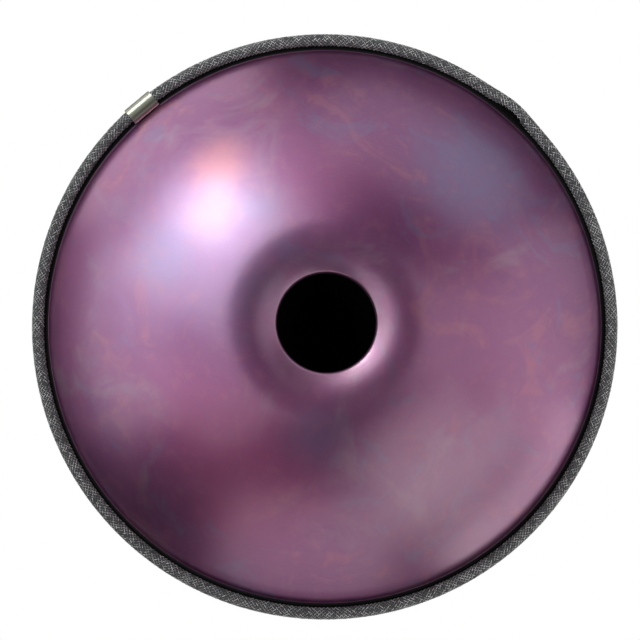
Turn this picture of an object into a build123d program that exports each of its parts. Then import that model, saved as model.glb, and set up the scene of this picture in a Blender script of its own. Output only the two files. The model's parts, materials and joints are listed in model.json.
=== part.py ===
from build123d import *
from math import asin
from math import cos
from math import degrees
from math import hypot
from math import radians
from math import sin
from math import sqrt
import os

# Handpan: two domed steel shells glued flange to flange, a rubber trim gripping the flanges,
# a braided rope over the trim and a steel clasp over the rope's join.
# Millimetres. +Z is up, with the playing side on top. The origin is on the surface that the
# instrument stands on, below the centre of the port.

# Sheet steel and the rim
wall = 1.0
flange_radius = 279.5
flange_width = 11.5
bend_radius = 2.0
glue_gap = 0.4
rim_angle = 54.0
shoulder_radius = 130.0
dome_height = 120.0

# Port in the lower shell
port_radius = 46.0
port_neck = 12.0
neck_bend = 4.5
funnel_radius = 64.0
funnel_slope = 25.0
rest_land = 2.5
crease_radius = 80.0

# Centre dome of the upper shell
ding_radius = 33.0
ding_height = 9.5
ding_blend = 9.0

# Tone fields round the centre dome
field_count = 8
field_gap = 5.0
field_shift = 8.0
field_step = 0.035
dimple_share = 0.31
dimple_depth = 4.0
dimple_stretch = 1.25

# Trim, rope and clasp
rope_radius = 6.5
rope_wall = 1.5
rope_reach = 4.0
lip_height = 1.3
trim_slack = 0.3
join_gap = 0.6
clasp_wall = 1.2
clasp_length = 30.0
clasp_throat = 2.6
clasp_gap = 0.7
clasp_angle = -130.0
trim_join_angle = -50.0

# The domes' outside: a shoulder arc that rises from the rim, tangent to a large crown arc.
# Heights here are counted from the middle of the glue line.
dome_radius = flange_radius - flange_width
shoulder_center_r = dome_radius - shoulder_radius * sin(radians(rim_angle))
shoulder_center_h = -shoulder_radius * cos(radians(rim_angle))
crown_rise = dome_height - shoulder_radius
crown_center_h = crown_rise**2 - shoulder_center_r**2 - shoulder_center_h**2
crown_center_h = crown_center_h / (2 * (crown_rise - shoulder_center_h))
crown_radius = dome_height - crown_center_h
center_distance = hypot(shoulder_center_r, shoulder_center_h - crown_center_h)
seat = glue_gap / 2
stack = seat + wall

# The port: a shallow funnel arc that bends sharply into the neck. Round the funnel is a narrow
# flat land that the instrument rests on, with a soft crease where the land meets the crown.
arc_distance = funnel_radius - neck_bend
funnel_edge = port_radius + neck_bend + arc_distance * sin(radians(funnel_slope))
flat_end = funnel_edge + rest_land
crease_center_h = crown_center_h + sqrt((crown_radius - crease_radius) ** 2 - flat_end**2)
land_height = crease_center_h + crease_radius
land_radius = sqrt(crown_radius**2 - (land_height - crown_center_h) ** 2)
rim_height = land_height
funnel_center_h = land_height - funnel_radius
neck_center_h = funnel_center_h + arc_distance * cos(radians(funnel_slope))
neck_end = neck_center_h - port_neck

# The centre dome's arc, and the ring on which the tone fields lie
cap_radius = (ding_radius**2 + ding_height**2) / (2 * ding_height)
cap_center_h = crown_center_h + sqrt(crown_radius**2 - ding_radius**2) + ding_height - cap_radius
ring_radius = (ding_radius + 2 * ding_blend + dome_radius) / 2 + field_shift
field_half = ring_radius * sin(radians(180 / field_count)) - field_gap / 2

# Rope section: it closes round the flanges and stands out past their edge
rope_center = flange_radius + rope_reach - rope_radius
core_radius = rope_radius - rope_wall
lip_level = stack + lip_height
clasp_radius = rope_radius + clasp_wall
clasp_mouth = lip_level + clasp_gap

# Section planes: x is the distance from the axis, y the height over or under the glue line
upper_side = Plane(origin=(0, 0, rim_height), x_dir=(1, 0, 0), z_dir=(0, -1, 0))
lower_side = Plane(origin=(0, 0, rim_height), x_dir=(1, 0, 0), z_dir=(0, 1, 0))


def crown_point(radius, inset):
    # Point of the crown arc at a distance from the axis
    return (radius, crown_center_h + sqrt((crown_radius - inset) ** 2 - radius**2))


def shoulder_point(height, inset):
    # Point of the shoulder arc at a height
    reach = sqrt((shoulder_radius - inset) ** 2 - (height - shoulder_center_h) ** 2)
    return (shoulder_center_r + reach, height)


def tangent_point(inset):
    # Where the crown arc runs into the shoulder arc
    share = (crown_radius - inset) / center_distance
    height = crown_center_h + (shoulder_center_h - crown_center_h) * share
    return (shoulder_center_r * share, height)


def rim_lines(start, inner, inset):
    # Crown arc from start, shoulder and flange, then down past the glue line and in to inner
    tangent = tangent_point(inset)
    foot = shoulder_point(stack - inset, inset)
    edge = flange_radius + inset
    low = -stack - inset
    ThreePointArc(start, crown_point((start[0] + tangent[0]) / 2, inset), tangent)
    ThreePointArc(tangent, shoulder_point((tangent[1] + foot[1]) / 2, inset), foot)
    Polyline(foot, (edge, stack - inset), (edge, low), (inner, low))
    return foot


def round_corner(point, radius):
    # Round the outline's corner at a point
    fillet(vertices().sort_by_distance((point[0], point[1], 0))[0], radius)


def upper_dome(inset):
    # Solid under the upper shell's outer face, or under its inner face when inset is the wall
    distance = cap_center_h - crown_center_h
    rise = distance**2 + (crown_radius - inset) ** 2 - (cap_radius - inset) ** 2
    rise = rise / (2 * distance)
    base = (sqrt((crown_radius - inset) ** 2 - rise**2), crown_center_h + rise)
    middle = (base[0] / 2, cap_center_h + sqrt((cap_radius - inset) ** 2 - (base[0] / 2) ** 2))
    top = (0, cap_center_h + cap_radius - inset)
    with BuildPart() as dome:
        with BuildSketch(upper_side):
            with BuildLine():
                ThreePointArc(top, middle, base)
                foot = rim_lines(base, 0, inset)
                Line((0, -stack - inset), top)
            make_face()
            round_corner(base, ding_blend + inset)
            round_corner(foot, bend_radius + inset)
        revolve(axis=Axis.Z)
    return dome.part


def field_plane(index, half_width):
    # One tone field's plane: x runs down the dome, away from its centre, and z points outwards
    side = 2 * (index % 2) - 1
    turn = -90 + side * (1 + 2 * (index // 2)) * 180 / field_count
    lean = degrees(asin(ring_radius / crown_radius))
    crown_center = Plane(origin=(0, 0, rim_height + crown_center_h))
    leaning = crown_center.rotated((0, lean, 0)).rotated((0, 0, turn))
    return leaning.offset(sqrt(crown_radius**2 - half_width**2))


def field_tools(index, inset):
    # What one tone field takes off the dome: a flat, and an oval dimple pressed into it
    half_width = field_half * (1 - field_step * index)
    dimple_half = half_width * dimple_share
    press_radius = (dimple_half**2 + dimple_depth**2) / (2 * dimple_depth)
    face = field_plane(index, half_width)
    press_center = face.from_local_coords((0, 0, press_radius - dimple_depth))
    press = Plane(origin=press_center, x_dir=face.x_dir, z_dir=face.y_dir)
    with BuildPart(face.offset(-inset)) as flat:
        Box(3 * half_width, 3 * half_width, half_width, align=(Align.CENTER, Align.CENTER, Align.MIN))
    with BuildPart() as dimple:
        with BuildSketch(press):
            Ellipse(press_radius * dimple_stretch + inset, press_radius + inset)
            Rectangle(6 * press_radius, 3 * press_radius, align=(Align.CENTER, Align.MAX),
                      mode=Mode.SUBTRACT)
        revolve(axis=Axis(press.origin, press.x_dir))
    return flat.part, dimple.part


def upper_form(inset):
    # The upper dome with its tone fields pressed in
    with BuildPart() as form:
        add(upper_dome(inset))
        for index in range(field_count):
            for tool in field_tools(index, inset):
                add(tool, mode=Mode.SUBTRACT)
    return form.part


os.makedirs("parts", exist_ok=True)

# Upper shell: the playing side, with the centre dome and the ring of tone fields
with BuildPart() as ding_shell:
    add(upper_form(0))
    add(upper_form(wall), mode=Mode.SUBTRACT)

ding_shell.part.label = "ding_shell"
export_step(ding_shell.part, "parts/ding_shell.step")


def funnel_point(slope):
    # Offset from an arc's centre, towards the axis and outwards, where the arc has this slope
    return (-sin(radians(slope)), cos(radians(slope)))


def lower_form(inset):
    # Ring-shaped solid under the lower shell's outer or inner face, hollow over the port
    bend = neck_bend - inset
    arc = funnel_radius - inset
    middle = funnel_point(funnel_slope / 2)
    joint = funnel_point(funnel_slope)
    turned = funnel_point((90 + funnel_slope) / 2)
    bend_center = (port_radius + neck_bend, neck_center_h)
    neck_top = (port_radius + inset, neck_center_h)
    turn_middle = (bend_center[0] + bend * turned[0], bend_center[1] + bend * turned[1])
    bend_start = (bend_center[0] + bend * joint[0], bend_center[1] + bend * joint[1])
    arc_middle = (funnel_edge + arc * middle[0], funnel_center_h + arc * middle[1])
    land_start = (funnel_edge, land_height - inset)
    land_rise = land_start[1] - crown_center_h
    land_end = (sqrt((crown_radius - inset) ** 2 - land_rise**2), land_start[1])
    with BuildPart() as form:
        with BuildSketch(lower_side):
            with BuildLine():
                Line((neck_top[0], -stack - inset), neck_top)
                ThreePointArc(neck_top, turn_middle, bend_start)
                ThreePointArc(bend_start, arc_middle, land_start)
                Line(land_start, land_end)
                foot = rim_lines(land_end, neck_top[0], inset)
            make_face()
            round_corner(land_end, crease_radius - inset)
            round_corner(foot, bend_radius + inset)
        revolve(axis=Axis.Z)
    return form.part


# Lower shell: a plain dome whose middle sinks in a funnel into the port's neck
with BuildPart() as gu_shell:
    add(lower_form(0))
    add(lower_form(wall), mode=Mode.SUBTRACT)
    with BuildSketch(lower_side):
        with Locations((0, neck_end)):
            Rectangle(port_radius + 2 * wall, neck_end + 2 * stack, align=(Align.MIN, Align.MAX))
    revolve(axis=Axis.Z, mode=Mode.SUBTRACT)

gu_shell.part.label = "gu_shell"
export_step(gu_shell.part, "parts/gu_shell.step")

# Glue line between the two flanges, inside the bends
with BuildPart() as flange_adhesive:
    with BuildSketch(Plane.XY.offset(rim_height - seat)):
        Circle(flange_radius)
        Circle(dome_radius + bend_radius + wall, mode=Mode.SUBTRACT)
    extrude(amount=glue_gap)

flange_adhesive.part.label = "flange_adhesive"
export_step(flange_adhesive.part, "parts/flange_adhesive.step")


def rim_plane(angle):
    # Section plane of the rim at an angle round the axis
    return upper_side.rotated((0, 0, angle))


def rim_arc(length):
    # Turn about the axis that a length along the rim takes
    return degrees(length / rope_center)


# Rubber trim: a round core slit for the flanges, with two lips that reach in along them.
# Its ends meet away from the clasp.
with BuildPart() as edge_trim:
    with BuildSketch(rim_plane(trim_join_angle)):
        lip_start = dome_radius + bend_radius - trim_slack
        with Locations((rope_center, 0)):
            Circle(core_radius)
        with Locations((lip_start, 0)):
            Rectangle(rope_center - lip_start, 2 * lip_level, align=(Align.MIN, Align.CENTER))
            Rectangle(flange_radius - lip_start, 2 * stack, align=(Align.MIN, Align.CENTER),
                      mode=Mode.SUBTRACT)
    revolve(axis=Axis.Z, revolution_arc=360 - rim_arc(join_gap))

edge_trim.part.label = "edge_trim"
export_step(edge_trim.part, "parts/edge_trim.step")

# Braided rope: a sleeve round the trim's core, open towards the domes. Its ends meet inside
# the clasp.
with BuildPart() as rope_braid:
    with BuildSketch(rim_plane(clasp_angle)):
        with Locations((rope_center, 0)):
            Circle(rope_radius)
            Circle(core_radius, mode=Mode.SUBTRACT)
            Rectangle(2 * rope_radius, 2 * lip_level, align=(Align.MAX, Align.CENTER),
                      mode=Mode.SUBTRACT)
    revolve(axis=Axis.Z, revolution_arc=360 - rim_arc(join_gap))

rope_braid.part.label = "rope_braid"
export_step(rope_braid.part, "parts/rope_braid.step")

# Steel clasp: a sleeve bent round the rope, whose jaws stop short of the domes
with BuildPart() as clasp:
    with BuildSketch(rim_plane(clasp_angle - rim_arc(clasp_length) / 2)):
        with Locations((rope_center - clasp_throat / 2, 0)):
            SlotCenterToCenter(clasp_throat, 2 * clasp_radius)
            SlotCenterToCenter(clasp_throat, 2 * rope_radius, mode=Mode.SUBTRACT)
            Rectangle(2 * clasp_radius, 2 * clasp_mouth, align=(Align.MAX, Align.CENTER),
                      mode=Mode.SUBTRACT)
    revolve(axis=Axis.Z, revolution_arc=rim_arc(clasp_length))

clasp.part.label = "clasp"
export_step(clasp.part, "parts/clasp.step")

print("rim radius", round(rope_center + rope_radius, 2), "height over the rest", round(rim_height, 2))
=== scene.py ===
import bpy
import bmesh
import json
import math
from mathutils import Matrix, Vector


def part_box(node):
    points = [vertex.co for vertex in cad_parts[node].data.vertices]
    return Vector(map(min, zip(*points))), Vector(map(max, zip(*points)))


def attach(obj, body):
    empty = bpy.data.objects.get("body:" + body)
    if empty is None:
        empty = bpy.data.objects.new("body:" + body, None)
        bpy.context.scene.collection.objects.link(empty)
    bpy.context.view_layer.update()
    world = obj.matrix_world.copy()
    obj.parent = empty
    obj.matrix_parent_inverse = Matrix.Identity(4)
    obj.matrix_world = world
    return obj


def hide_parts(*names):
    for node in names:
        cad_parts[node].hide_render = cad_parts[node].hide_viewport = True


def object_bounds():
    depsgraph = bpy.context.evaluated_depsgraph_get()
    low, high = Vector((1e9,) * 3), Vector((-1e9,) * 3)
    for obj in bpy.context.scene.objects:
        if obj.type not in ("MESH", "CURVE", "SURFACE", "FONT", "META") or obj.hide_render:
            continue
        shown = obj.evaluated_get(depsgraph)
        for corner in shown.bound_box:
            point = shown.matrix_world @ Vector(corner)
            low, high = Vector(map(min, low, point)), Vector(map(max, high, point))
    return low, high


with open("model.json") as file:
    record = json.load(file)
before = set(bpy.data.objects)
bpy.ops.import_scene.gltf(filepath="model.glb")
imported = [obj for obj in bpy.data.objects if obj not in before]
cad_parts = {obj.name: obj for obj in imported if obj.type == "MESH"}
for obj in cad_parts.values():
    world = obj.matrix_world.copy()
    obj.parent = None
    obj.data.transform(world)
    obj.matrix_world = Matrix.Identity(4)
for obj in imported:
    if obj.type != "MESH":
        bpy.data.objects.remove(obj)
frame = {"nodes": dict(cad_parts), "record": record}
cadLow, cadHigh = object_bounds()

# What the frame says: the rim's height and reach, the flanges, the port, the clasp's place
ropeLow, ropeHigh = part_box("rope_braid")
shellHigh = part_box("gu_shell")[1]
glueLow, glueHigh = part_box("flange_adhesive")
claspLow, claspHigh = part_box("clasp")
port = next(m for m in frame["record"]["mounts"] if m["name"] == "port")
rimHeight = (glueLow[2] + glueHigh[2]) / 2
ropeReach = min(-ropeLow[0], -ropeLow[1], ropeHigh[0], ropeHigh[1])
ropeRadius = (ropeHigh[2] - ropeLow[2]) / 2
ropeCenter = ropeReach - ropeRadius
flangeRadius = shellHigh[0]
portRadius = port["dims"]["r_mm"] / 1000
portNeck = port["dims"]["length_mm"] / 1000
claspMiddle = (Vector(claspLow) + Vector(claspHigh)) / 2
claspAngle = math.atan2(claspMiddle.y, claspMiddle.x)
glueGap = glueHigh[2] - glueLow[2]
print("frame read: rim at", round(rimHeight, 4), "rope centre", round(ropeCenter, 4))


def addNode(tree, kind, settings=None, inputs=None, out=0):
    # Any node: its type, its settings, its sockets' values or wires, and the output wanted
    node = tree.nodes.new(kind)
    for name, value in (settings or {}).items():
        setattr(node, name, value)
    for name, value in (inputs or {}).items():
        socket = node.inputs[name]
        if isinstance(value, Wire):
            tree.links.new(value.socket, socket)
        elif value is not None:
            socket.default_value = value
    return Wire(tree, node.outputs[out])


class Wire:
    # A socket that can stand in a sum; each operator adds a Math node
    def __init__(self, tree, socket):
        self.tree = tree
        self.socket = socket

    def op(self, operation, first, second):
        return addNode(self.tree, "ShaderNodeMath", {"operation": operation}, {0: first, 1: second})

    def __add__(self, other):
        return self.op("ADD", self, other)

    def __radd__(self, other):
        return self.op("ADD", other, self)

    def __sub__(self, other):
        return self.op("SUBTRACT", self, other)

    def __rsub__(self, other):
        return self.op("SUBTRACT", other, self)

    def __mul__(self, other):
        return self.op("MULTIPLY", self, other)

    def __rmul__(self, other):
        return self.op("MULTIPLY", other, self)

    def __truediv__(self, other):
        return self.op("DIVIDE", self, other)

    def __rtruediv__(self, other):
        return self.op("DIVIDE", other, self)


def newMaterial(name):
    material = bpy.data.materials.new(name)
    material.use_nodes = True
    tree = material.node_tree
    shader = next(n for n in tree.nodes if n.type == "BSDF_PRINCIPLED")
    return material, tree, shader


def plug(tree, wire, shader, name):
    tree.links.new(wire.socket, shader.inputs[name])


def place(tree, scale=(1, 1, 1), turn=(0, 0, 0), shift=(0, 0, 0)):
    # Object coordinates, moved, turned and scaled
    where = addNode(tree, "ShaderNodeTexCoord", out=3)
    return addNode(tree, "ShaderNodeMapping", {"vector_type": "POINT"},
                   {"Vector": where, "Location": shift, "Rotation": turn, "Scale": scale})


def noise(tree, where, scale, detail=3.0, rough=0.5, twist=0.0):
    return addNode(tree, "ShaderNodeTexNoise", {"noise_dimensions": "3D"},
                   {"Vector": where, "Scale": scale, "Detail": detail, "Roughness": rough,
                    "Distortion": twist})


def blendColours(tree, share, first, second):
    # Plain colours are tuples of three
    first, second = ((*c, 1) if isinstance(c, tuple) else c for c in (first, second))
    return addNode(tree, "ShaderNodeMix", {"data_type": "RGBA"}, {0: share, 6: first, 7: second}, out=2)


def bump(tree, height, strength, distance, normal=None):
    return addNode(tree, "ShaderNodeBump", {},
                   {"Height": height, "Strength": strength, "Distance": distance, "Normal": normal})


def band(tree, value, low, high):
    # 0 under low, 1 over high, smooth between
    settings = {"interpolation_type": "SMOOTHSTEP"}
    return addNode(tree, "ShaderNodeMapRange", settings,
                   {"Value": value, "From Min": low, "From Max": high})


def addObject(name, mesh, *materials):
    piece = bpy.data.objects.new(name, mesh)
    bpy.context.scene.collection.objects.link(piece)
    for material in materials:
        mesh.materials.append(material)
    return piece


def arc(center, radius, start, end, count):
    # Points along an arc in the section plane, angles in degrees from straight outwards
    points = []
    for step in range(count + 1):
        angle = math.radians(start + (end - start) * step / count)
        points.append((center[0] + radius * math.cos(angle), center[1] + radius * math.sin(angle)))
    return points


def towards(start, end):
    return math.degrees(math.atan2(end[1] - start[1], end[0] - start[0]))


view = {
    "distance": 2.2,       # from the rim's plane
    "sideways": -0.029,    # off the axis
    "along": 0.063,
    "aimX": -0.0050,       # what the middle of the frame looks at
    "aimY": -0.0055,
    "sensor": 36.0,
    "widthAtRim": 0.6189,  # what the frame's width takes in at the rim's plane
    "near": 0.05,
}

cameraData = bpy.data.cameras.new("camera")
camera = bpy.data.objects.new("camera", cameraData)
bpy.context.scene.collection.objects.link(camera)
camera.location = (view["sideways"], view["along"], rimHeight - view["distance"])
aim = Vector((view["aimX"], view["aimY"], rimHeight)) - camera.location
back = -aim.normalized()
right = Vector((1, 0, 0))
upward = back.cross(right).normalized()
right = upward.cross(back)
camera.matrix_world = Matrix((
    (right.x, upward.x, back.x, camera.location.x),
    (right.y, upward.y, back.y, camera.location.y),
    (right.z, upward.z, back.z, camera.location.z),
    (0, 0, 0, 1),
))
cameraData.sensor_width = view["sensor"]
cameraData.lens = view["sensor"] * aim.length / view["widthAtRim"]
cameraData.clip_start = view["near"]
bpy.context.scene.camera = camera
print("camera set")


room = {
    "floorSize": 30.0,
    "floorColour": (0.82, 0.82, 0.82),
    "floorMottle": 0.97,
    "floorRoughness": 0.75,
    "floorDrop": 0.0004,          # under the instrument, so that the two don't flicker
    "floorFade": (0.7, 1.9),      # from here to here out it turns to air
    "air": (1.0, 1.0, 1.0),       # what the camera sees past the floor
    "ambient": (0.24, 0.24, 0.24),      # what lights the floor, the rope and the rubber
    "mirrored": (0.012, 0.012, 0.012),  # what mirrors in the metal
}


def makeFloor():
    material, tree, shader = newMaterial("studioFloor")
    grain = noise(tree, place(tree), 35.0, 4.0)
    darker = tuple(c * room["floorMottle"] for c in room["floorColour"])
    tone = blendColours(tree, grain, room["floorColour"], darker)
    plug(tree, tone, shader, "Base Color")
    shader.inputs["Roughness"].default_value = room["floorRoughness"]
    # Far out the floor runs into the white air
    spot = addNode(tree, "ShaderNodeTexCoord", out=3)
    reach = addNode(tree, "ShaderNodeVectorMath", {"operation": "LENGTH"}, {0: spot}, out=1)
    glow = addNode(tree, "ShaderNodeEmission", {}, {"Color": (*room["air"], 1), "Strength": 1.0})
    faded = addNode(tree, "ShaderNodeMixShader", {},
                    {0: band(tree, reach, *room["floorFade"]), 1: Wire(tree, shader.outputs[0]), 2: glow})
    # The floor is only there from above, so that the underside can be looked at
    side = addNode(tree, "ShaderNodeNewGeometry", out=6)
    clear = addNode(tree, "ShaderNodeBsdfTransparent")
    mix = addNode(tree, "ShaderNodeMixShader", {}, {0: side, 1: faded, 2: clear})
    output = next(n for n in tree.nodes if n.type == "OUTPUT_MATERIAL")
    tree.links.new(mix.socket, output.inputs["Surface"])
    half = room["floorSize"] / 2
    mesh = bpy.data.meshes.new("studioFloor")
    mesh.from_pydata([(-half, -half, 0), (half, -half, 0), (half, half, 0), (-half, half, 0)],
                     [], [(0, 1, 2, 3)])
    floor = addObject("studioFloor", mesh, material)
    floor.location.z = cadLow[2] - room["floorDrop"]
    floor.visible_shadow = False
    floor.visible_glossy = False
    floor.visible_transmission = False


def makeAir():
    world = bpy.data.worlds.new("air")
    bpy.context.scene.world = world
    world.use_nodes = True
    tree = world.node_tree
    tree.nodes.clear()
    looking = addNode(tree, "ShaderNodeLightPath", out="Is Camera Ray")
    soft = addNode(tree, "ShaderNodeLightPath", out="Is Diffuse Ray")
    air = blendColours(tree, soft, room["mirrored"], room["ambient"])
    seen = addNode(tree, "ShaderNodeBackground", {}, {"Color": (*room["air"], 1), "Strength": 1.0})
    felt = addNode(tree, "ShaderNodeBackground", {}, {"Color": air, "Strength": 1.0})
    mix = addNode(tree, "ShaderNodeMixShader", {}, {0: looking, 1: felt, 2: seen})
    output = tree.nodes.new("ShaderNodeOutputWorld")
    tree.links.new(mix.socket, output.inputs["Surface"])


# Soft panels, all at one distance. Each: degrees round the axis, degrees off straight down
# (over 90 is above the rim), width, height, power, colour
lampDistance = 1.7
lamps = {
    "key": (227, 53, 0.5, 0.5, 5.5, (0.88, 1.00, 0.94)),
    "keyWash": (220, 47, 1.5, 1.5, 11.0, (0.90, 1.00, 0.95)),
    "keyHigh": (230, 95, 1.6, 0.8, 4.5, (1.00, 1.00, 1.00)),
    "left": (178, 67, 1.6, 1.0, 5.5, (0.95, 1.00, 1.00)),
    "leftUnder": (150, 35, 0.9, 1.1, 2.5, (1.00, 0.95, 1.00)),
    "rear": (260, 60, 0.9, 1.3, 1.5, (1.00, 1.00, 1.00)),
    "rearBlue": (300, 70, 1.7, 1.1, 4.0, (0.95, 0.95, 1.00)),
    "right": (0, 78, 1.7, 1.1, 4.5, (1.00, 1.00, 1.00)),
    "rightUnder": (0, 38, 0.9, 1.4, 2.5, (1.00, 0.95, 1.00)),
    "warm": (50, 58, 1.2, 1.1, 3.5, (1.00, 1.00, 0.95)),
    "warmHigh": (40, 102, 1.4, 1.0, 5.0, (1.00, 1.00, 0.95)),
    "front": (95, 77, 1.3, 1.2, 3.5, (1.00, 0.95, 0.95)),
    "overhead": (300, 168, 2.0, 2.0, 40.0, (1.00, 1.00, 1.00)),
}


def makeLamps():
    center = Vector((0, 0, rimHeight))
    for name, (around, off, width, height, power, colour) in lamps.items():
        turn = math.radians(around)
        tilt = math.radians(off)
        away = Vector((math.sin(tilt) * math.cos(turn), math.sin(tilt) * math.sin(turn), -math.cos(tilt)))
        data = bpy.data.lights.new(name, "AREA")
        data.shape = "RECTANGLE"
        data.size = width
        data.size_y = height
        data.energy = power
        data.color = colour
        lamp = bpy.data.objects.new(name, data)
        bpy.context.scene.collection.objects.link(lamp)
        lamp.location = center + away * lampDistance
        lamp.rotation_euler = away.to_track_quat("Z", "Y").to_euler()
        lamp.visible_camera = False


makeFloor()
makeAir()
makeLamps()
bpy.context.scene.view_settings.view_transform = "Standard"
print("studio set")


finish = {
    "violet": (0.410, 0.133, 0.310),
    "plum": (0.350, 0.108, 0.285),
    "rose": (0.600, 0.215, 0.290),
    "slate": (0.270, 0.205, 0.400),
    "ash": (0.480, 0.310, 0.410),
    "lavender": (0.370, 0.185, 0.385),
    "magenta": (0.430, 0.108, 0.290),
    "wine": (0.500, 0.120, 0.290),
    # paler tint, used round the port as a painted highlight
    "pale": (0.480, 0.310, 0.370),
    "roughness": 0.43,
    "coatRoughness": 0.26,
    "coatIor": 1.72,
    "glued": (0.2667, 0.2675),  # between these radii the steel goes black: glue, and painted shade at the dome's foot
    # the black of that band: the glue's colour, also painted shade
    "glue": (0.001, 0.001, 0.001),
}


def violetSteel(name, patches, seedShift):
    # Heat-tinted violet sheet: slow drifts of hue, fine brush marks, small waves in the metal.
    # patches: place, reach, colour and share of a larger area of another tint; the pale ring round the port
    # is a painted highlight
    material, tree, shader = newMaterial(name)
    where = place(tree, shift=seedShift)
    slow = noise(tree, where, 5.5, 4.0, 0.55, 0.6)
    middle = noise(tree, where, 17.0, 5.0, 0.6, 1.2)
    fine = noise(tree, where, 70.0, 4.0, 0.6)
    colour = blendColours(tree, band(tree, slow, 0.40, 0.60), finish["violet"], finish["plum"])
    colour = blendColours(tree, band(tree, middle, 0.54, 0.70) * 0.40, colour, finish["rose"])
    other = noise(tree, place(tree, shift=(3.1 + seedShift[0], 1.7, 0.4)), 12.0, 6.0, 0.66, 1.5)
    colour = blendColours(tree, band(tree, other, 0.53, 0.68) * 0.55, colour, finish["slate"])
    third = noise(tree, place(tree, shift=(0.7, 5.2 + seedShift[1], 2.4)), 9.0, 5.0, 0.6, 1.0)
    colour = blendColours(tree, band(tree, third, 0.52, 0.70) * 0.45, colour, finish["ash"])
    spot = addNode(tree, "ShaderNodeTexCoord", out=3)
    for center, reach, tint, share in patches:
        gap = addNode(tree, "ShaderNodeVectorMath", {"operation": "DISTANCE"}, {0: spot, 1: center}, out=1)
        ragged = gap / reach + (middle - 0.5) * 0.8
        mask = 1 - band(tree, ragged, 0.15, 1.0)
        colour = blendColours(tree, mask * share, colour, tint)
    wiped = place(tree, scale=(1.0, 3.2, 3.2), turn=(0, 0, 0.5))
    speck = noise(tree, wiped, 190.0, 4.0, 0.7)
    colour = blendColours(tree, band(tree, speck, 0.50, 0.75) * 0.30, colour, finish["slate"])
    colour = blendColours(tree, band(tree, fine, 0.50, 0.75) * 0.22, colour, finish["rose"])
    # Black band in the corner between the dome's foot and the trim: glue, and painted shade where the trim
    # and rope shade the steel
    flat = addNode(tree, "ShaderNodeVectorMath", {"operation": "MULTIPLY"}, {0: spot, 1: (1, 1, 0)})
    reach = addNode(tree, "ShaderNodeVectorMath", {"operation": "LENGTH"}, {0: flat}, out=1)
    glueAndShade = band(tree, reach, *finish["glued"])
    colour = blendColours(tree, glueAndShade, colour, finish["glue"])
    plug(tree, colour, shader, "Base Color")
    rough = finish["roughness"] + (middle - 0.5) * 0.10 + (fine - 0.5) * 0.06 + glueAndShade * 0.6
    plug(tree, rough, shader, "Roughness")
    plug(tree, 1 - glueAndShade, shader, "Metallic")
    plug(tree, 1 - glueAndShade, shader, "Coat Weight")
    shader.inputs["Coat IOR"].default_value = finish["coatIor"]
    shader.inputs["Coat Roughness"].default_value = finish["coatRoughness"]
    waves = noise(tree, where, 11.0, 2.0, 0.4)
    grain = noise(tree, wiped, 300.0, 3.0, 0.6)
    relief = bump(tree, waves, 0.12, 0.010)
    relief = bump(tree, grain, 0.16, 0.0006, relief)
    plug(tree, relief, shader, "Normal")
    return material


def darkSteel():
    # The inside of the shells: steel dark from the furnace, made near black as painted shade inside the
    # closed body
    material, tree, shader = newMaterial("furnaceAndShadeBlackSteel")
    where = place(tree)
    scale = noise(tree, where, 24.0, 5.0, 0.6)
    plug(tree, blendColours(tree, scale, (0.008, 0.008, 0.009), (0.022, 0.018, 0.020)), shader, "Base Color")
    plug(tree, 0.6 + (scale - 0.5) * 0.2, shader, "Roughness")
    plug(tree, bump(tree, scale, 0.2, 0.001), shader, "Normal")
    return material


sheet = {
    "wall": 0.0010,
    "flangeWidth": 0.0115,
    "bend": 0.0020,
    "rimAngle": 54.0,
    "shoulder": 0.130,
    "domeHeight": 0.120,
    "neckBend": 0.0045,
    "funnel": 0.064,
    "funnelSlope": 25.0,
    "crease": 0.080,
    "turns": 480,          # steps round the axis
}

domeRadius = flangeRadius - sheet["flangeWidth"]
shoulderCenter = (
    domeRadius - sheet["shoulder"] * math.sin(math.radians(sheet["rimAngle"])),
    -sheet["shoulder"] * math.cos(math.radians(sheet["rimAngle"])),
)
crownRise = sheet["domeHeight"] - sheet["shoulder"]
crownLow = crownRise**2 - shoulderCenter[0] ** 2 - shoulderCenter[1] ** 2
crownLow = crownLow / (2 * (crownRise - shoulderCenter[1]))
crownCenter = (0.0, crownLow)
crownRadius = sheet["domeHeight"] - crownLow
seat = glueGap / 2
stack = seat + sheet["wall"]


def rimLine(startAngle, inset, crownSteps, shoulderSteps):
    # Crown, shoulder, foot and flange of one face; inset 0 is the outside
    blendAngle = towards(crownCenter, shoulderCenter)
    footReach = sheet["shoulder"] + sheet["bend"]
    footHeight = stack + sheet["bend"]
    footCenter = (
        shoulderCenter[0] + math.sqrt(footReach**2 - (footHeight - shoulderCenter[1]) ** 2),
        footHeight,
    )
    footAngle = towards(shoulderCenter, footCenter)
    points = arc(crownCenter, crownRadius - inset, startAngle, blendAngle, crownSteps)
    points += arc(shoulderCenter, sheet["shoulder"] - inset, blendAngle, footAngle, shoulderSteps)[1:]
    points += arc(footCenter, sheet["bend"] + inset, footAngle + 180, 270, 5)[1:]
    points.append((flangeRadius, stack - inset))
    return points


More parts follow.
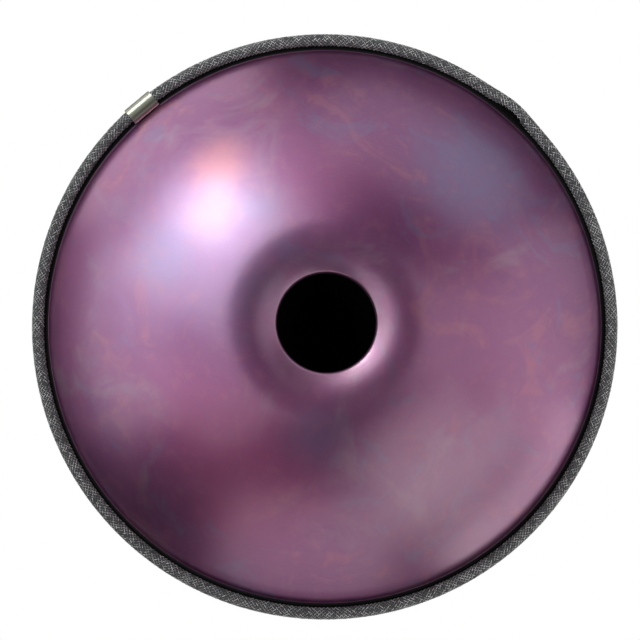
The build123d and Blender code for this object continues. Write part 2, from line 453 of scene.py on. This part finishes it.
def lowerLine(inset, detail):
    # The lower shell's face from the neck's end to the flange's edge
    funnelEdge = portRadius + sheet["neckBend"]
    funnelEdge += (sheet["funnel"] - sheet["neckBend"]) * math.sin(math.radians(sheet["funnelSlope"]))
    funnelCenter = (funnelEdge, rimHeight - sheet["funnel"])
    drop = (sheet["funnel"] - sheet["neckBend"]) * math.cos(math.radians(sheet["funnelSlope"]))
    neckCenter = (portRadius + sheet["neckBend"], funnelCenter[1] + drop)
    creaseHeight = rimHeight - sheet["crease"]
    creaseReach = (crownRadius - sheet["crease"]) ** 2 - (creaseHeight - crownCenter[1]) ** 2
    creaseCenter = (math.sqrt(creaseReach), creaseHeight)
    creaseAngle = towards(crownCenter, creaseCenter)
    turned = 90 + sheet["funnelSlope"]
    points = [(portRadius + inset, neckCenter[1] - portNeck * step / 3) for step in (3, 2, 1)]
    points += arc(neckCenter, sheet["neckBend"] - inset, 180, turned, 8)
    points += arc(funnelCenter, sheet["funnel"] - inset, turned, 90, 10 * detail)[1:]
    points += arc(creaseCenter, sheet["crease"] - inset, 90, creaseAngle, 4)
    points += rimLine(creaseAngle, inset, 16 * detail, 12 * detail)[1:]
    return points


def spin(outer, inner, turns, side):
    # Closed ring of sheet: both faces of a section taken round the axis.
    # side is 1 with the dome upwards and -1 with it downwards.
    loop = outer + inner[::-1]
    mesh = bmesh.new()
    rings = []
    for step in range(turns):
        turn = 2 * math.pi * step / turns
        cosine = math.cos(turn)
        sine = math.sin(turn)
        rings.append([mesh.verts.new((r * cosine, r * sine, rimHeight + side * h)) for r, h in loop])
    count = len(loop)
    for step in range(turns):
        here = rings[step]
        there = rings[(step + 1) % turns]
        for index in range(count):
            after = (index + 1) % count
            face = mesh.faces.new((here[index], here[after], there[after], there[index]))
            face.material_index = 0 if index < len(outer) else 1
    return mesh


def closeMesh(mesh, name, sharp=38):
    bmesh.ops.recalc_face_normals(mesh, faces=mesh.faces)
    data = bpy.data.meshes.new(name)
    mesh.to_mesh(data)
    mesh.free()
    data.shade_smooth()
    data.set_sharp_from_angle(angle=math.radians(sharp))
    return data


lowerPatches = [
    ((-0.117, -0.068, 0.03), 0.150, finish["lavender"], 0.95),
    ((0.140, -0.140, 0.05), 0.090, finish["slate"], 0.70),
    ((0.110, 0.170, 0.05), 0.160, finish["ash"], 0.45),
    ((-0.130, 0.075, 0.04), 0.090, finish["magenta"], 0.80),
    ((-0.075, 0.130, 0.04), 0.110, finish["wine"], 0.80),
    ((0.010, -0.130, 0.03), 0.080, finish["magenta"], 0.60),
    ((-0.100, -0.150, 0.04), 0.045, finish["rose"], 0.80),
    ((-0.060, -0.105, 0.03), 0.040, finish["slate"], 0.55),
    ((-0.150, -0.060, 0.03), 0.050, finish["slate"], 0.50),
    ((-0.010, 0.100, 0.02), 0.045, finish["slate"], 0.55),
    # paler ring round the port: painted highlight where the funnel's edge catches the lamps
    ((0.000, 0.000, 0.00), 0.080, finish["pale"], 0.65),
]
upperPatches = [
    ((0.140, 0.150, 0.17), 0.110, finish["slate"], 0.60),
    ((-0.150, -0.120, 0.17), 0.150, finish["ash"], 0.50),
    ((0.120, -0.160, 0.17), 0.120, finish["rose"], 0.35),
]

lowerFinish = violetSteel("violetSteelUnder", lowerPatches, (0.0, 0.0, 0.0))
upperFinish = violetSteel("violetSteelTop", upperPatches, (1.3, 0.6, 2.2))
insideFinish = darkSteel()


def makeLowerShell():
    mesh = spin(lowerLine(0, 2), lowerLine(sheet["wall"], 1), sheet["turns"] // 2, -1)
    shell = addObject("guShell", closeMesh(mesh, "guShell"), lowerFinish, insideFinish)
    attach(shell, "root")
    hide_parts("gu_shell")
    print("lower shell made:", len(shell.data.polygons), "faces")


fields = {
    "count": 8,
    "ring": 0.1675,        # distance of the fields' centres from the axis
    "gap": 0.005,          # left between neighbours
    "step": 0.035,         # each field is this share smaller than the one before
    "dimple": 0.31,        # dimple's half width over the field's
    "dimpleDepth": 0.0040,
    "dimpleStretch": 1.25,
    "stretch": 1.12,       # longer down the dome than across
    "edge": 0.00045,       # how soft the field's border is
    "dimpleEdge": 0.00035,
    "nearby": 1.2,         # radians past which a field takes nothing in
    "droop": 0.85,         # how far a field's cross line bends round the dome
    "rimFade": 0.020,      # the last stretch to the rim, where the fields run out
    "dingRadius": 0.033,
    "dingHeight": 0.0095,
    "dingBlend": 0.009,
    "dingField": 0.088,    # the centre note's own faint border
    "dingFlat": 0.0016,
}


def fieldList():
    # Angle, half width, depth of the flat and its centre's lean for each tone field
    found = []
    half = fields["ring"] * math.sin(math.pi / fields["count"]) - fields["gap"] / 2
    for index in range(fields["count"]):
        side = 1 if index % 2 else -1
        turn = math.radians(-90 + side * (1 + 2 * (index // 2)) * 180 / fields["count"])
        width = half * (1 - fields["step"] * index)
        depth = crownRadius - math.sqrt(crownRadius**2 - width**2)
        found.append((turn, width, depth))
    return found


def pressed(value, softness):
    # 0 where value is below 0, value where it is above, with a soft corner
    return (value + math.sqrt(value * value + softness * softness)) / 2


def sunk(radius, turn, allFields):
    # How far the tone fields and their dimples take the sheet in, at a place on the dome
    depth = 0.0
    lean = math.asin(min(radius / crownRadius, 1))
    fieldLean = math.asin(fields["ring"] / crownRadius)
    for center, half, flat in allFields:
        away = math.remainder(turn - center, 2 * math.pi)
        if abs(away) > fields["nearby"]:
            continue
        down = crownRadius * (lean - fieldLean)
        across = radius * math.sin(away)
        down -= radius * (1 - math.cos(away)) * fields["droop"]
        reach = (down / (half * fields["stretch"])) ** 2 + (across / half) ** 2
        if reach > 4:
            continue
        depth += pressed(flat * (1 - reach), fields["edge"])
        small = half * fields["dimple"]
        reach = (down / (small * fields["dimpleStretch"])) ** 2 + (across / small) ** 2
        if reach < 4:
            depth += pressed(fields["dimpleDepth"] * (1 - reach), fields["dimpleEdge"])
    ding = fields["dingFlat"] * (1 - (radius / fields["dingField"]) ** 2)
    return depth + pressed(ding, fields["edge"] / 2)


def upperLine(inset, detail):
    # The upper shell's face from the axis to the flange's edge
    crossing = crownCenter[1] + math.sqrt(crownRadius**2 - fields["dingRadius"] ** 2)
    capRadius = (fields["dingRadius"] ** 2 + fields["dingHeight"] ** 2) / (2 * fields["dingHeight"])
    capCenter = (0.0, crossing + fields["dingHeight"] - capRadius)
    gap = capCenter[1] - crownCenter[1]
    far = crownRadius + fields["dingBlend"]
    near = capRadius + fields["dingBlend"]
    rise = (gap**2 + far**2 - near**2) / (2 * gap)
    blendCenter = (math.sqrt(far**2 - rise**2), crownCenter[1] + rise)
    capAngle = towards(capCenter, blendCenter)
    crownAngle = towards(crownCenter, blendCenter)
    points = arc(capCenter, capRadius - inset, 90, capAngle, 7 * detail)
    points += arc(blendCenter, fields["dingBlend"] + inset, capAngle - 180, crownAngle - 180, 3 * detail)[1:]
    points += rimLine(crownAngle, inset, 38 * detail, 9 * detail)[1:]
    return points


def makeUpperShell():
    allFields = fieldList()
    turns = sheet["turns"]
    mesh = bmesh.new()
    edges = []
    for inset, detail in ((0.0, 2), (sheet["wall"], 1)):
        line = upperLine(inset, detail)
        below = sunk(0.0, 0.0, allFields)
        pole = mesh.verts.new((0, 0, rimHeight + line[0][1] - below))
        last = None
        for r, h in line[1:]:
            # Straight out of the dome, away from its middle
            out = Vector((r, h - crownCenter[1])).normalized()
            fade = min(1.0, max(0.0, (domeRadius - r) / fields["rimFade"]))
            ring = []
            for step in range(turns):
                turn = 2 * math.pi * step / turns
                depth = sunk(r, turn, allFields) * fade
                reach = r - out.x * depth
                ring.append(mesh.verts.new((reach * math.cos(turn), reach * math.sin(turn),
                                            rimHeight + h - out.y * depth)))
            for step in range(turns):
                after = (step + 1) % turns
                if last is None:
                    face = mesh.faces.new((pole, ring[step], ring[after]))
                else:
                    face = mesh.faces.new((last[step], ring[step], ring[after], last[after]))
                face.material_index = 1 if inset else 0
            last = ring
        edges.append(last)
    for step in range(turns):
        after = (step + 1) % turns
        mesh.faces.new((edges[0][step], edges[1][step], edges[1][after], edges[0][after]))
    shell = addObject("dingShell", closeMesh(mesh, "dingShell"), upperFinish, insideFinish)
    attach(shell, "root")
    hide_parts("ding_shell")
    print("upper shell made:", len(shell.data.polygons), "faces")


makeLowerShell()
makeUpperShell()


rope = {
    "picksRound": 446,     # braid picks in one turn of the rim
    "rows": 19,            # rows of picks across the rope
    "opening": 22.0,       # degrees from the middle of the open side to the first row
    "lean": 40.0,          # degrees that a pick leans off the rope's line
    "pickLength": 0.0050,
    "pickWidth": 0.0019,
    "pickHeight": 0.00095,
    "core": 0.93,          # the sleeve under the picks, over the rope's radius
    "sleeveWall": 0.0010,
    "sleeveTurns": 360,    # steps round the axis
    "bulge": 0.0023,       # where the trim's two ends push the rope out
    "bulgeAngle": -49.0,
    "bulgeSpread": 4.6,
    "seed": 7,
    "darkYarn": (0.045, 0.045, 0.048),
    "paleYarn": (0.92, 0.92, 0.92),
    "yarnGaps": (0.06, 0.06, 0.065),
    # near black: painted shade in the gaps between the picks, on the rope's woven core
    "darkSleeve": (0.020, 0.020, 0.022),
    "paleSleeve": (0.060, 0.060, 0.063),
}


def ropeCloth():
    # Grey yarn: each pick has its own shade, with filaments along it
    material, tree, shader = newMaterial("greyYarn")
    shade = addNode(tree, "ShaderNodeAttribute", {"attribute_name": "pickShade"}, out=2)
    along = addNode(tree, "ShaderNodeUVMap", {"uv_map": "pickUV"})
    fibre = addNode(tree, "ShaderNodeMapping", {}, {"Vector": along, "Scale": (1.5, 14, 1)})
    threads = noise(tree, fibre, 1.4, 2.0, 0.6)
    colour = blendColours(tree, shade, rope["darkYarn"], rope["paleYarn"])
    colour = blendColours(tree, threads * 0.5, colour, rope["yarnGaps"])
    plug(tree, colour, shader, "Base Color")
    plug(tree, 0.32 + threads * 0.2, shader, "Roughness")
    plug(tree, bump(tree, threads, 0.5, 0.0003), shader, "Normal")
    shader.inputs["Sheen Weight"].default_value = 0.25
    return material


def coreCloth():
    material, tree, shader = newMaterial("ropeCore")
    # The core's near-black colour is painted shade in the gaps between the picks
    weave = noise(tree, place(tree), 900.0, 2.0)
    plug(tree, blendColours(tree, weave, rope["darkSleeve"], rope["paleSleeve"]), shader, "Base Color")
    plug(tree, 0.8 + (weave - 0.5) * 0.2, shader, "Roughness")
    plug(tree, bump(tree, weave, 0.5, 0.0004), shader, "Normal")
    return material


def pickMesh():
    # One braid pick, unit size: a long hexagon with a ridged back
    mesh = bmesh.new()
    rim = [(-1, 0), (-0.5, -0.9), (0.5, -0.9), (1, 0), (0.5, 0.9), (-0.5, 0.9)]
    base = [mesh.verts.new((x * 0.5, y * 0.5, 0)) for x, y in rim]
    tail = mesh.verts.new((-0.22, 0, 1))
    head = mesh.verts.new((0.22, 0, 1))
    mesh.faces.new((base[1], base[2], head, tail))
    mesh.faces.new((base[4], base[5], tail, head))
    mesh.faces.new((base[0], base[1], tail))
    mesh.faces.new((base[5], base[0], tail))
    mesh.faces.new((base[2], base[3], head))
    mesh.faces.new((base[3], base[4], head))
    mesh.faces.new(base[::-1])
    bmesh.ops.recalc_face_normals(mesh, faces=mesh.faces)
    flat = mesh.loops.layers.uv.new("pickUV")
    for face in mesh.faces:
        for loop in face.loops:
            loop[flat].uv = (loop.vert.co.x + 0.5, loop.vert.co.y + 0.5)
    data = bpy.data.meshes.new("pick")
    mesh.to_mesh(data)
    mesh.free()
    data.shade_smooth()
    return data


def bulgeAt(turn):
    away = math.degrees(math.remainder(turn - math.radians(rope["bulgeAngle"]), 2 * math.pi))
    return rope["bulge"] * math.exp(-((away / rope["bulgeSpread"]) ** 2))


def braidTree():
    tree = bpy.data.node_groups.new("ropeBraid", "GeometryNodeTree")
    tree.is_modifier = True
    wanted = {
        "Pick": "NodeSocketObject", "Yarn": "NodeSocketMaterial", "Picks round": "NodeSocketInt",
        "Rows": "NodeSocketInt", "Rim radius": "NodeSocketFloat", "Rope radius": "NodeSocketFloat",
        "Rim height": "NodeSocketFloat", "Opening": "NodeSocketFloat", "Lean": "NodeSocketFloat",
        "Pick length": "NodeSocketFloat", "Pick width": "NodeSocketFloat",
        "Pick height": "NodeSocketFloat", "Bulge": "NodeSocketFloat",
        "Bulge angle": "NodeSocketFloat", "Bulge spread": "NodeSocketFloat", "Seed": "NodeSocketInt",
    }
    for name, kind in wanted.items():
        tree.interface.new_socket(name, in_out="INPUT", socket_type=kind)
    tree.interface.new_socket("Geometry", in_out="OUTPUT", socket_type="NodeSocketGeometry")
    entry = tree.nodes.new("NodeGroupInput")
    given = {name: Wire(tree, entry.outputs[name]) for name in wanted}

    rows = given["Rows"]
    index = addNode(tree, "GeometryNodeInputIndex")
    column = addNode(tree, "ShaderNodeMath", {"operation": "FLOOR"}, {0: (index + 0.5) / rows})
    row = index - column * rows
    odd = addNode(tree, "ShaderNodeMath", {"operation": "MODULO"}, {0: row, 1: 2.0})
    rimTurn = (column + odd * 0.5) / given["Picks round"] * (2 * math.pi)
    span = (180 - given["Opening"]) * (2 * math.pi / 180)
    ropeTurn = ((row + 0.5) / rows - 0.5) * span

    def trig(operation, value):
        return addNode(tree, "ShaderNodeMath", {"operation": operation}, {0: value})

    def vector(x, y, z):
        return addNode(tree, "ShaderNodeCombineXYZ", {}, {0: x, 1: y, 2: z})

    def randomly(low, high, channel):
        return addNode(tree, "FunctionNodeRandomValue", {"data_type": "FLOAT"},
                       {2: low, 3: high, "Seed": given["Seed"] + channel}, out=1)

    away = rimTurn - given["Bulge angle"]
    wrapped = addNode(tree, "ShaderNodeMath", {"operation": "WRAP"}, {0: away, 1: math.pi, 2: -math.pi})
    share = wrapped / given["Bulge spread"]
    push = trig("EXPONENT", share * share * -1.0) * given["Bulge"]
    cosRim = trig("COSINE", rimTurn)
    sinRim = trig("SINE", rimTurn)
    cosRope = trig("COSINE", ropeTurn)
    sinRope = trig("SINE", ropeTurn)
    foot = given["Rope radius"] - given["Pick height"]
    reach = given["Rim radius"] + push + foot * cosRope
    spot = vector(reach * cosRim, reach * sinRim, given["Rim height"] + foot * sinRope)
    outward = vector(cosRope * cosRim, cosRope * sinRim, sinRope)
    along = vector(sinRim * -1.0, cosRim, 0.0)
    across = addNode(tree, "ShaderNodeVectorMath", {"operation": "CROSS_PRODUCT"}, {0: outward, 1: along})
    lean = given["Lean"] * (1 - odd * 2) + randomly(-0.07, 0.07, 1)
    first = addNode(tree, "ShaderNodeVectorMath", {"operation": "SCALE"},
                    {0: along, "Scale": trig("COSINE", lean)})
    second = addNode(tree, "ShaderNodeVectorMath", {"operation": "SCALE"},
                     {0: across, "Scale": trig("SINE", lean)})
    heading = addNode(tree, "ShaderNodeVectorMath", {"operation": "ADD"}, {0: first, 1: second})
    turned = addNode(tree, "FunctionNodeAxesToRotation", {"primary_axis": "Z", "secondary_axis": "X"},
                     {0: outward, 1: heading})
    size = vector(given["Pick length"] * randomly(0.93, 1.07, 2),
                  given["Pick width"] * randomly(0.92, 1.08, 3),
                  given["Pick height"] * randomly(0.80, 1.0, 4))

    points = addNode(tree, "GeometryNodeMeshLine", {"mode": "OFFSET"},
                     {"Count": rows * given["Picks round"], "Offset": (0, 0, 0)})
    points = addNode(tree, "GeometryNodeSetPosition", {}, {"Geometry": points, "Position": spot})
    pick = addNode(tree, "GeometryNodeObjectInfo", {}, {"Object": given["Pick"]}, out=4)
    placed = addNode(tree, "GeometryNodeInstanceOnPoints", {},
                     {"Points": points, "Instance": pick, "Rotation": turned, "Scale": size})
    shaded = addNode(tree, "GeometryNodeStoreNamedAttribute", {"data_type": "FLOAT", "domain": "INSTANCE"},
                     {"Geometry": placed, "Name": "pickShade", "Value": randomly(0.0, 1.0, 5)})
    whole = addNode(tree, "GeometryNodeRealizeInstances", {}, {"Geometry": shaded})
    cloth = addNode(tree, "GeometryNodeSetMaterial", {}, {"Geometry": whole, "Material": given["Yarn"]})
    result = tree.nodes.new("NodeGroupOutput")
    tree.links.new(cloth.socket, result.inputs["Geometry"])
    return tree


def makeBraid(yarn):
    pick = bpy.data.objects.new("pick", pickMesh())
    tree = braidTree()
    holder = addObject("ropePicks", bpy.data.meshes.new("ropePicks"))
    modifier = holder.modifiers.new("braid", "NODES")
    modifier.node_group = tree
    values = {
        "Pick": pick, "Yarn": yarn, "Picks round": rope["picksRound"], "Rows": rope["rows"],
        "Rim radius": ropeCenter, "Rope radius": ropeRadius - 0.0001, "Rim height": rimHeight,
        "Opening": rope["opening"], "Lean": math.radians(rope["lean"]),
        "Pick length": rope["pickLength"], "Pick width": rope["pickWidth"],
        "Pick height": rope["pickHeight"], "Bulge": rope["bulge"],
        "Bulge angle": math.radians(rope["bulgeAngle"]),
        "Bulge spread": math.radians(rope["bulgeSpread"]), "Seed": rope["seed"],
    }
    for item in tree.interface.items_tree:
        if item.item_type == "SOCKET" and item.in_out == "INPUT":
            modifier[item.identifier] = values[item.name]
    bpy.context.view_layer.update()
    evaluated = holder.evaluated_get(bpy.context.evaluated_depsgraph_get())
    plain = bpy.data.meshes.new_from_object(evaluated)
    holder.modifiers.clear()
    holder.data = plain
    if not plain.materials:
        plain.materials.append(yarn)
    bpy.data.objects.remove(pick)
    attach(holder, "root")
    print("braid made:", len(plain.polygons), "faces")
    return holder


def makeSleeve(core):
    # The woven sleeve under the picks, open towards the domes
    outer = ropeRadius * rope["core"]
    inner = outer - rope["sleeveWall"]
    half = 180 - rope["opening"]
    section = arc((0, 0), outer, -half, half, 34) + arc((0, 0), inner, half, -half, 20)
    mesh = bmesh.new()
    turns = rope["sleeveTurns"]
    rings = []
    for step in range(turns):
        turn = 2 * math.pi * step / turns
        center = ropeCenter + bulgeAt(turn)
        ring = [mesh.verts.new(((center + x) * math.cos(turn), (center + x) * math.sin(turn),
                                rimHeight + z)) for x, z in section]
        rings.append(ring)
    for step in range(turns):
        here = rings[step]
        there = rings[(step + 1) % turns]
        for index in range(len(section)):
            after = (index + 1) % len(section)
            mesh.faces.new((here[index], there[index], there[after], here[after]))
    sleeve = addObject("ropeSleeve", closeMesh(mesh, "ropeSleeve"), core)
    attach(sleeve, "root")
    print("sleeve made:", len(sleeve.data.polygons), "faces")
    return sleeve


braid = makeBraid(ropeCloth())
sleeve = makeSleeve(coreCloth())
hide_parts("rope_braid")
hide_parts("rope_braid")


claspShape = {
    "length": 0.0300,
    "wall": 0.0012,
    "throat": 0.0026,
    "mouth": 0.0032,
    "edge": 0.00028,       # rounding of its edges
    "steps": 6,            # along its length
    "warm": (0.50, 0.49, 0.42),
    "worn": (0.36, 0.35, 0.29),
    "dull": (0.32, 0.30, 0.24),
}


def claspSteel():
    # Satin steel with a warm cast, drawn along its length
    material, tree, shader = newMaterial("claspSteel")
    turned = place(tree, turn=(0, 0, -claspAngle))
    lines = addNode(tree, "ShaderNodeMapping", {}, {"Vector": turned, "Scale": (900, 40, 900)})
    drawn = noise(tree, lines, 1.0, 3.0, 0.6)
    blotch = noise(tree, place(tree), 160.0, 3.0)
    colour = blendColours(tree, drawn, claspShape["warm"], claspShape["worn"])
    colour = blendColours(tree, band(tree, blotch, 0.5, 0.8) * 0.4, colour, claspShape["dull"])
    plug(tree, colour, shader, "Base Color")
    plug(tree, 0.27 + drawn * 0.10, shader, "Roughness")
    plug(tree, bump(tree, drawn, 0.05, 0.00005), shader, "Normal")
    shader.inputs["Metallic"].default_value = 1.0
    return material


def claspSection(radius):
    # From one jaw round the outside to the other jaw
    center = -claspShape["throat"] / 2
    jaw = math.degrees(math.asin(claspShape["mouth"] / radius))
    inner = (center - claspShape["throat"] / 2, 0)
    outer = (center + claspShape["throat"] / 2, 0)
    points = arc(inner, radius, -180 + jaw, -90, 10)
    points += arc(outer, radius, -90, 90, 28)
    points += arc(inner, radius, 90, 180 - jaw, 10)
    return points


def makeClasp(steel):
    outerLine = claspSection(ropeRadius + claspShape["wall"])
    innerLine = claspSection(ropeRadius)
    section = outerLine + innerLine[::-1]
    outward = Vector((math.cos(claspAngle), math.sin(claspAngle), 0))
    along = Vector((-outward.y, outward.x, 0))
    middle = outward * ropeCenter + Vector((0, 0, rimHeight))
    mesh = bmesh.new()
    rings = []
    for step in range(claspShape["steps"] + 1):
        shift = (step / claspShape["steps"] - 0.5) * claspShape["length"]
        rings.append([mesh.verts.new(middle + along * shift + outward * x + Vector((0, 0, z)))
                      for x, z in section])
    count = len(section)
    for here, there in zip(rings, rings[1:]):
        for index in range(count):
            after = (index + 1) % count
            mesh.faces.new((here[index], there[index], there[after], here[after]))
    half = len(outerLine)
    for ring in (rings[0], rings[-1]):
        for index in range(half - 1):
            mesh.faces.new((ring[index], ring[index + 1], ring[count - 2 - index], ring[count - 1 - index]))
    data = closeMesh(mesh, "clasp", 30)
    clasp = addObject("claspSleeve", data, steel)
    bevel = clasp.modifiers.new("edges", "BEVEL")
    bevel.width = claspShape["edge"]
    bevel.segments = 3
    bevel.limit_method = "ANGLE"
    bevel.angle_limit = math.radians(40)
    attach(clasp, "root")
    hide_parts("clasp")


makeClasp(claspSteel())
print("clasp made")


black = {
    # the trim's near-zero black is deeper than rubber's own: partly painted shade in the band between dome
    # and rope
    "trim": (0.0015, 0.0015, 0.0015),
    "trimDust": (0.0045, 0.0045, 0.0045),
    "glue": (0.003, 0.003, 0.003),
    "glueDust": (0.008, 0.007, 0.006),
}


def rubber(name, dark, light):
    material, tree, shader = newMaterial(name)
    grain = noise(tree, place(tree), 600.0, 3.0)
    dust = noise(tree, place(tree), 45.0, 4.0, 0.6)
    colour = blendColours(tree, grain, dark, light)
    colour = blendColours(tree, band(tree, dust, 0.6, 0.9) * 0.3, colour, tuple(c * 1.8 for c in light))
    plug(tree, colour, shader, "Base Color")
    plug(tree, 0.8 + (grain - 0.5) * 0.2, shader, "Roughness")
    plug(tree, bump(tree, grain, 0.3, 0.0002), shader, "Normal")
    shader.inputs["Specular IOR Level"].default_value = 0.04
    return material


def dress(node, material):
    mesh = frame["nodes"][node].data
    mesh.materials.clear()
    mesh.materials.append(material)


# The trim and the glue keep the frame's own shapes
# The trim is black rubber, darkened further as painted shade between dome and rope
dress("edge_trim", rubber("shadedTrimRubber", black["trim"], black["trimDust"]))
dress("flange_adhesive", rubber("setGlue", black["glue"], black["glueDust"]))
print("trim and glue dressed")
